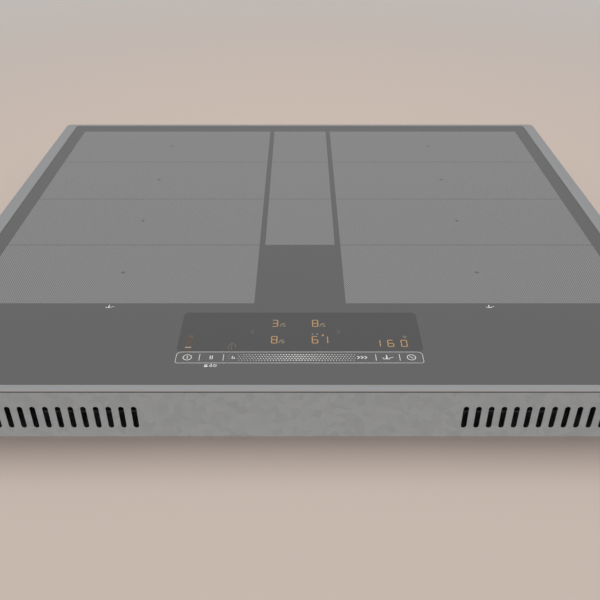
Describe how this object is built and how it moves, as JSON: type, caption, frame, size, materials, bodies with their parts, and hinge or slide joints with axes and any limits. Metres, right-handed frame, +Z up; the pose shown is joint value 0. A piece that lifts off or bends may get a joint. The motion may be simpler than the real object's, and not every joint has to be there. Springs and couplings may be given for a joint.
{
  "type": "built-in induction cooktop",
  "caption": "Built-in induction cooktop with two long flexible cooking zones, a centre strip, a touch slider panel and a thin steel frame.",
  "frame": {"origin": "centre of the worktop's cut-out, in the worktop's top plane, under the frame's seal", "axes": "+X to the cook's right, +Y to the back, +Z up out of the worktop"},
  "size_m": [0.584, 0.5092, 0.0534],
  "materials": {
    "printed_glass": "polished, printed grey",
    "satin_steel": "satin",
    "silicone": "cured bead",
    "seal_foam": "foam",
    "zinc_sheet": "galvanised",
    "screw_steel": "zinc plated",
    "spring_steel": "rolled",
    "black_plastic": "moulded",
    "grommet_rubber": "moulded",
    "pale_plastic": "moulded",
    "lead_insulation": "extruded",
    "circuit_board": "lacquered",
    "standoff_brass": "turned",
    "copper": "lacquered wire",
    "capacitor_case": "moulded",
    "transformer_tape": "taped",
    "mill_aluminium": "mill",
    "mica": "pressed sheet",
    "former_plastic": "moulded",
    "ferrite": "sintered",
    "sensor_ceramic": "pressed",
    "display_plastic": "moulded",
    "contact_foam": "conductive foam",
    "ribbon_plastic": "flat cable",
    "package_plastic": "moulded",
    "motor_steel": "lacquered",
    "impeller_plastic": "moulded"
  },
  "bodies": {
    "cooktop": {"board_screws": "screw_steel", "board_standoffs": "standoff_brass", "casing_screws": "screw_steel", "clip_feet": "spring_steel", "coil_formers": "former_plastic", "coil_leads": "lead_insulation", "coil_left_1": "copper", "coil_left_2": "copper", "coil_left_3": "copper", "coil_left_4": "copper", "coil_plate": "mill_aluminium", "coil_right_1": "copper", "coil_right_2": "copper", "coil_right_3": "copper", "coil_right_4": "copper", "coil_sensors": "sensor_ceramic", "coils_centre": "copper", "control_carrier": "black_plastic", "control_ribbon": "ribbon_plastic", "deck_springs": "spring_steel", "display_modules": "display_plastic", "fan_housing_left": "black_plastic", "fan_housing_right": "black_plastic", "fan_motor_left": "motor_steel", "fan_motor_right": "motor_steel", "ferrite_bars": "ferrite", "filter_board": "circuit_board", "filter_capacitors": "capacitor_case", "filter_chokes": "copper", "glass_bond": "silicone", "glass_top": "printed_glass", "heat_sink_left": "mill_aluminium", "heat_sink_right": "mill_aluminium", "inlet_grommet": "grommet_rubber", "insulation_sheet": "mica", "lower_casing": "zinc_sheet", "mains_leads": "lead_insulation", "power_board_left": "circuit_board", "power_board_right": "circuit_board", "power_transistors_left": "package_plastic", "power_transistors_right": "package_plastic", "resonance_capacitors_left": "capacitor_case", "resonance_capacitors_right": "capacitor_case", "spring_posts": "black_plastic", "supply_board": "circuit_board", "supply_transformer": "transformer_tape", "terminal_block": "pale_plastic", "terminal_box": "black_plastic", "terminal_screws": "screw_steel", "touch_board": "circuit_board", "touch_contacts": "contact_foam", "trim_frame": "satin_steel", "worktop_seal": "seal_foam"},
    "fan_impeller_left": {"fan_impeller_left": "impeller_plastic"},
    "fan_impeller_right": {"fan_impeller_right": "impeller_plastic"},
    "clip_left_front": {"clip_left_front": "spring_steel"},
    "clip_left_rear": {"clip_left_rear": "spring_steel"},
    "clip_right_front": {"clip_right_front": "spring_steel"},
    "clip_right_rear": {"clip_right_rear": "spring_steel"},
    "terminal_cover": {"terminal_cover": "black_plastic"}
  },
  "joints": [
    {"name": "fan_left_spin", "type": "hinge", "parent": "cooktop", "child": "fan_impeller_left", "pos_m": [-0.095, 0.1771, -0.036], "axis": [0, 0, 1], "continuous": true},
    {"name": "fan_right_spin", "type": "hinge", "parent": "cooktop", "child": "fan_impeller_right", "pos_m": [0.095, 0.1771, -0.036], "axis": [0, 0, 1], "continuous": true},
    {"name": "clip_left_front_bend", "type": "hinge", "parent": "cooktop", "child": "clip_left_front", "pos_m": [-0.2742, -0.14, -0.033], "axis": [0, 1, 0], "range_deg": [0, 10], "stiffness_Nm_per_rad": 2},
    {"name": "clip_left_rear_bend", "type": "hinge", "parent": "cooktop", "child": "clip_left_rear", "pos_m": [-0.2742, 0.14, -0.033], "axis": [0, 1, 0], "range_deg": [0, 10], "stiffness_Nm_per_rad": 2},
    {"name": "clip_right_front_bend", "type": "hinge", "parent": "cooktop", "child": "clip_right_front", "pos_m": [0.2742, -0.14, -0.033], "axis": [0, -1, 0], "range_deg": [0, 10], "stiffness_Nm_per_rad": 2},
    {"name": "clip_right_rear_bend", "type": "hinge", "parent": "cooktop", "child": "clip_right_rear", "pos_m": [0.2742, 0.14, -0.033], "axis": [0, -1, 0], "range_deg": [0, 10], "stiffness_Nm_per_rad": 2},
    {"name": "terminal_cover_hinge", "type": "hinge", "parent": "cooktop", "child": "terminal_cover", "pos_m": [0.18355, 0.2457, -0.0474], "axis": [-1, 0, 0], "range_deg": [0, 90]}
  ]
}
